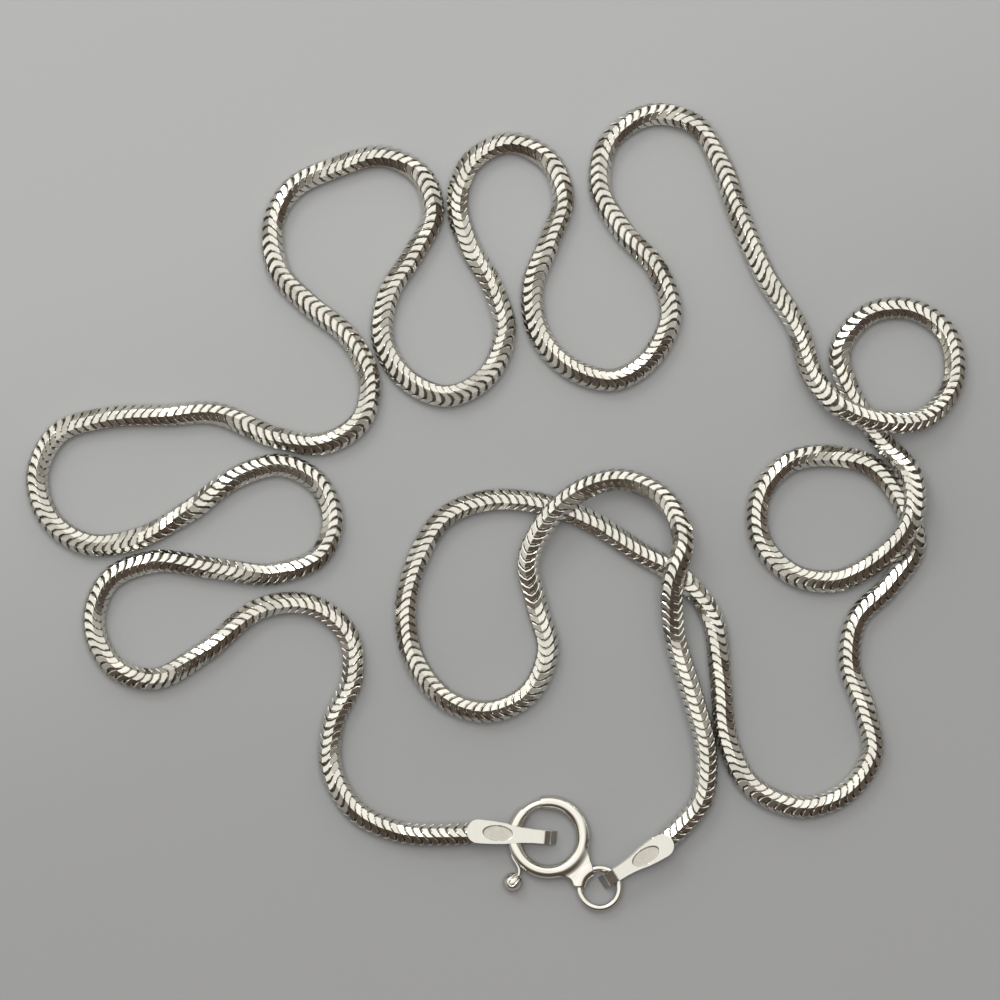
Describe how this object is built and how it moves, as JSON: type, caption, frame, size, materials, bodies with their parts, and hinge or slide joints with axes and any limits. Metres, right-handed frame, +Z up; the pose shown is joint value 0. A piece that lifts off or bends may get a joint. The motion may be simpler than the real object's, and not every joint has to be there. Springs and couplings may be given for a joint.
{
  "type": "snake chain necklace",
  "caption": "Fine eight-sided silver snake chain lying in loops, closed by a sprung bolt ring through folded end tags and a jump ring.",
  "frame": {"origin": "middle of the footprint, on the surface that the chain lies on", "axes": "+X to the right as it lies, along the longest side of the footprint, +Y away from the clasp, +Z up from the surface"},
  "size_m": [0.0692, 0.0595, 0.0036],
  "materials": {
    "chain_silver": "polished silver, eight cut flats",
    "tag_silver": "polished flat strip with a matt oval recess",
    "clasp_silver": "polished silver tube",
    "bolt_silver": "polished silver with a little wear",
    "wire_silver": "polished silver wire"
  },
  "bodies": {
    "root": {"chain": "chain_silver", "end_tag_left": "tag_silver", "end_tag_right": "tag_silver", "clasp_ring": "clasp_silver", "jump_ring": "wire_silver"},
    "bolt": {"clasp_bolt": "bolt_silver"}
  },
  "joints": [
    {"name": "bolt_slide", "type": "hinge", "parent": "root", "child": "bolt", "pos_m": [0.0039, -0.0243, 0.0008], "axis": [0, 0, 1], "range_deg": [0, 38], "stiffness_Nm_per_rad": 0.002}
  ]
}
